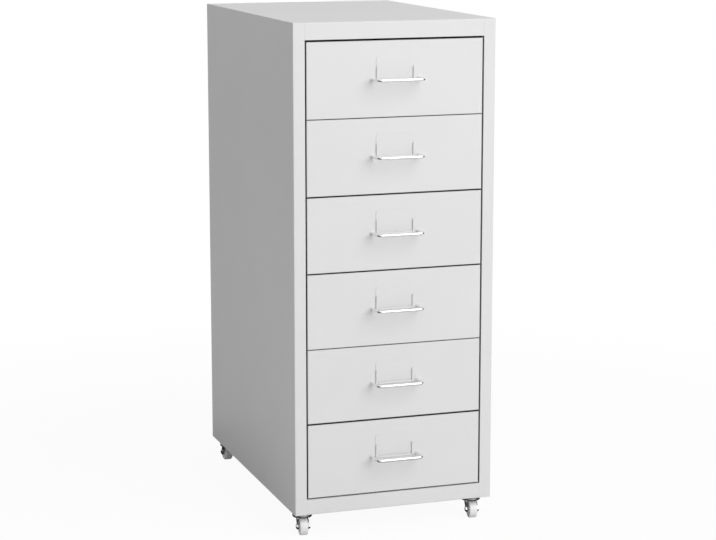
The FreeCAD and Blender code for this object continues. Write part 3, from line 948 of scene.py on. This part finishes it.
def caster_plate(sizes, top, crown_under):
    """One caster plate about its pin: the plate, the two cups of its race, the kingpin and its nut."""
    shape = bmesh.new()
    corner = 0.004
    plate = rounded_corners(sizes.plate_width, sizes.plate_length, (corner,) * 4)
    plate_of(shape, plate, top - sizes.plate_sheet, sizes.plate_sheet)
    under = top - sizes.plate_sheet
    radius = sizes.race / 2
    # Radius and depth down the race, as shares of its own.
    levels = ((0.86, 0.0), (0.955, 0.10), (0.99, 0.26), (1.0, 0.42), (0.97, 0.47), (0.97, 0.53), (1.0, 0.58),
              (0.985, 0.78), (0.94, 0.92), (0.86, 1.0), (0.45, 1.0))
    race = [(0, under)] + [(radius * r, under - sizes.race_height * h) for r, h in levels]
    race += [(0, under - sizes.race_height)]
    turned(shape, race[::-1], round_steps)
    pin = [(0, crown_under), (sizes.pin / 2, crown_under), (sizes.pin / 2, under - sizes.race_height),
           (0, under - sizes.race_height)]
    turned(shape, pin, pin_steps)
    hexagon(shape, sizes.nut_flats, -crown_under, sizes.nut_height, Matrix.Rotation(math.pi, 4, "X"))
    return mesh_of(shape)


def plate_tree(material):
    """Geometry tree that puts a copy of its geometry under each corner of the carcass."""
    kinds = {"Across": "Float", "Along": "Float", "Centre": "Vector"}
    tree, board, given = geometry_tree("Caster places", kinds)
    corners = {"Size X": given("Across"), "Size Y": given("Along"), "Vertices X": 2, "Vertices Y": 2}
    grid = board.add("MeshGrid", None, corners).out("Mesh")
    placed = board.add("Transform", None, {"Geometry": grid, "Translation": given("Centre")}).out()
    copies = board.add("InstanceOnPoints", None, {"Points": placed, "Instance": given("Geometry")}).out()
    end_tree(board, copies, material)
    return tree


class CABINET_OT_stamp_plates(Operator):
    """Stamps the four caster plates with their races and kingpins"""

    bl_idname = "cabinet.stamp_plates"
    bl_label = "Stamp the caster plates"

    def execute(self, context):
        sizes = context.scene.cabinet_caster
        low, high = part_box("caster_plates")
        pins = [Vector(joints[f"{caster}_turn"]["pos_m"]) for caster in casters]
        across = max(p.x for p in pins) - min(p.x for p in pins)
        along = max(p.y for p in pins) - min(p.y for p in pins)
        centre = sum(pins, Vector()) / len(pins)
        crown_under = low.z + sizes.nut_height
        tree = plate_tree(zinc(context))
        values = {"Across": across, "Along": along, "Centre": (centre.x, centre.y, 0)}
        mesh = grown_mesh("caster_plates", caster_plate(sizes, high.z, crown_under), tree, values)
        place_piece("stamped_caster_plates", mesh, zinc(context), "carcass", "bright_zinc", "caster_plates")
        return {"FINISHED"}


def studio_world(setup):
    """World: plain light on the part, and white for what is seen and mirrored."""
    world = bpy.data.worlds.new("studio")
    bpy.context.scene.world = world
    world.use_nodes = True
    board = Board(world.node_tree, "ShaderNode")
    path = board.add("LightPath")
    seen = path.out("Is Camera Ray").math("MAXIMUM", path.out("Is Glossy Ray"))
    seen = seen.math("MAXIMUM", path.out("Is Transmission Ray"))
    level = seen * (1 - setup.ambient) + setup.ambient
    white = board.add("Background", None, {"Color": (1, 1, 1, 1), "Strength": level}).out()
    board.add("OutputWorld", None, {"Surface": white})


def dark_card(name, corner, width, height, material):
    """Dark card from a corner along two sides, which shows only in metal: a painted dark reflection."""
    mesh = bpy.data.meshes.new(name)
    corner, width, height = Vector(corner), Vector(width), Vector(height)
    mesh.from_pydata([corner, corner + width, corner + width + height, corner + height], [], [(0, 1, 2, 3)])
    mesh.materials.append(material)
    card = bpy.data.objects.new(name, mesh)
    for ray in ("camera", "diffuse", "transmission", "volume_scatter", "shadow"):
        setattr(card, f"visible_{ray}", False)
    bpy.context.scene.collection.objects.link(card)


def black_card():
    """Dull black of the dark cards."""
    material, board, place = finish_board("black_card")
    tone = tinted(board, grain(board, place, 40), (0.01, 0.01, 0.01), (0.016, 0.016, 0.016))
    return surfaced(material, board, grain(board, place, 900), 0.0001, {"Base Color": tone, "Roughness": 0.9})


def soft_lamp(name, place, aim, size, power):
    """A square soft lamp that points at a place."""
    data = bpy.data.lights.new(name, "AREA")
    data.shape = "SQUARE"
    data.size = size
    data.energy = power
    lamp = bpy.data.objects.new(name, data)
    lamp.location = place
    lamp.rotation_euler = (Vector(aim) - Vector(place)).to_track_quat("-Z", "Y").to_euler()
    bpy.context.scene.collection.objects.link(lamp)


def pale_floor():
    """Floor that is white to the camera far off and nearly so close by, where it keeps the part's shadow."""
    material, board, place = finish_board("pale_floor")
    path = board.add("LightPath")
    tone = tinted(board, grain(board, place, 3), (0.86, 0.86, 0.86), (0.88, 0.88, 0.88))
    matt = board.add("BsdfDiffuse", None, {"Color": tone}).out()
    white = board.add("Emission", None, {"Color": (1, 1, 1, 1), "Strength": 1.0}).out()
    near, far, glow = 0.45, 1.4, 0.94
    distance = board.add("VectorMath", {"operation": "LENGTH"}, {0: place}).out("Value")
    seen = path.out("Is Camera Ray") * (distance.ramp(near, far) * (1 - glow) + glow)
    blend = board.add("MixShader", None, {0: seen, 1: matt, 2: white}).out()
    board.add("OutputMaterial", None, {"Surface": blend})
    reach = 30.0
    corners = [(-reach, -reach, 0), (reach, -reach, 0), (reach, reach, 0), (-reach, reach, 0)]
    mesh = bpy.data.meshes.new("floor")
    mesh.from_pydata(corners, [], [(0, 1, 2, 3)])
    mesh.materials.append(material)
    floor = bpy.data.objects.new("floor", mesh)
    bpy.context.scene.collection.objects.link(floor)


class CABINET_OT_set_stage(Operator):
    """Sets the floor, the lamps and the camera"""

    bl_idname = "cabinet.set_stage"
    bl_label = "Set the stage"

    def execute(self, context):
        setup = context.scene.cabinet_studio
        context.scene.view_settings.view_transform = "Standard"
        studio_world(setup)
        pale_floor()
        black = black_card()
        for name, (corner, width, height) in cards.items():
            dark_card(name, corner, width, height, black)
        aim = (0, 0, cad_box[1].z / 2)
        for name, (place, size, power) in lamps.items():
            soft_lamp(name, place, aim, size, getattr(setup, power))
        data = bpy.data.cameras.new("camera")
        data.lens = setup.lens
        data.clip_end = 100
        camera = bpy.data.objects.new("camera", data)
        camera.location = Vector(setup.camera_place) + Vector((0, front_plane, carcass_bottom))
        camera.rotation_euler = (math.radians(90) - setup.pitch, 0, -setup.yaw)
        context.scene.collection.objects.link(camera)
        context.scene.camera = camera
        return {"FINISHED"}


operators = (
    CABINET_OT_coat_sheets,
    CABINET_OT_round_fronts,
    CABINET_OT_fold_label_holders,
    CABINET_OT_bend_handles,
    CABINET_OT_drive_screws,
    CABINET_OT_mould_wheels,
    CABINET_OT_press_forks,
    CABINET_OT_bolt_axles,
    CABINET_OT_stamp_plates,
    CABINET_OT_set_stage,
)


class CABINET_PT_pieces(Panel):
    """Buttons for the pieces and their sizes"""

    bl_label = "Drawer cabinet"
    bl_idname = "CABINET_PT_pieces"
    bl_space_type = "VIEW_3D"
    bl_region_type = "UI"
    bl_category = "Cabinet"

    def draw(self, context):
        for operator in operators:
            self.layout.operator(operator.bl_idname)
        for name in groups:
            settings = getattr(context.scene, name)
            box = self.layout.box()
            for prop in settings.bl_rna.properties:
                if not prop.is_readonly and prop.identifier != "name":
                    box.prop(settings, prop.identifier)


groups = {
    "cabinet_paint": PaintFinish,
    "cabinet_metal": MetalFinish,
    "cabinet_handle": HandleShape,
    "cabinet_label": LabelShape,
    "cabinet_caster": CasterShape,
    "cabinet_studio": StudioSetup,
}


def register():
    for name, group in groups.items():
        bpy.utils.register_class(group)
        setattr(bpy.types.Scene, name, PointerProperty(type=group))
    for cls in (*operators, CABINET_PT_pieces):
        bpy.utils.register_class(cls)


def unregister():
    for cls in (CABINET_PT_pieces, *operators[::-1]):
        bpy.utils.unregister_class(cls)
    for name, group in groups.items():
        delattr(bpy.types.Scene, name)
        bpy.utils.unregister_class(group)


def main():
    register()
    bpy.ops.cabinet.set_stage()
    bpy.ops.cabinet.coat_sheets()
    bpy.ops.cabinet.round_fronts()
    bpy.ops.cabinet.fold_label_holders()
    bpy.ops.cabinet.bend_handles()
    bpy.ops.cabinet.drive_screws()
    bpy.ops.cabinet.mould_wheels()
    bpy.ops.cabinet.press_forks()
    bpy.ops.cabinet.bolt_axles()
    bpy.ops.cabinet.stamp_plates()


if __name__ == "__main__":
    main()
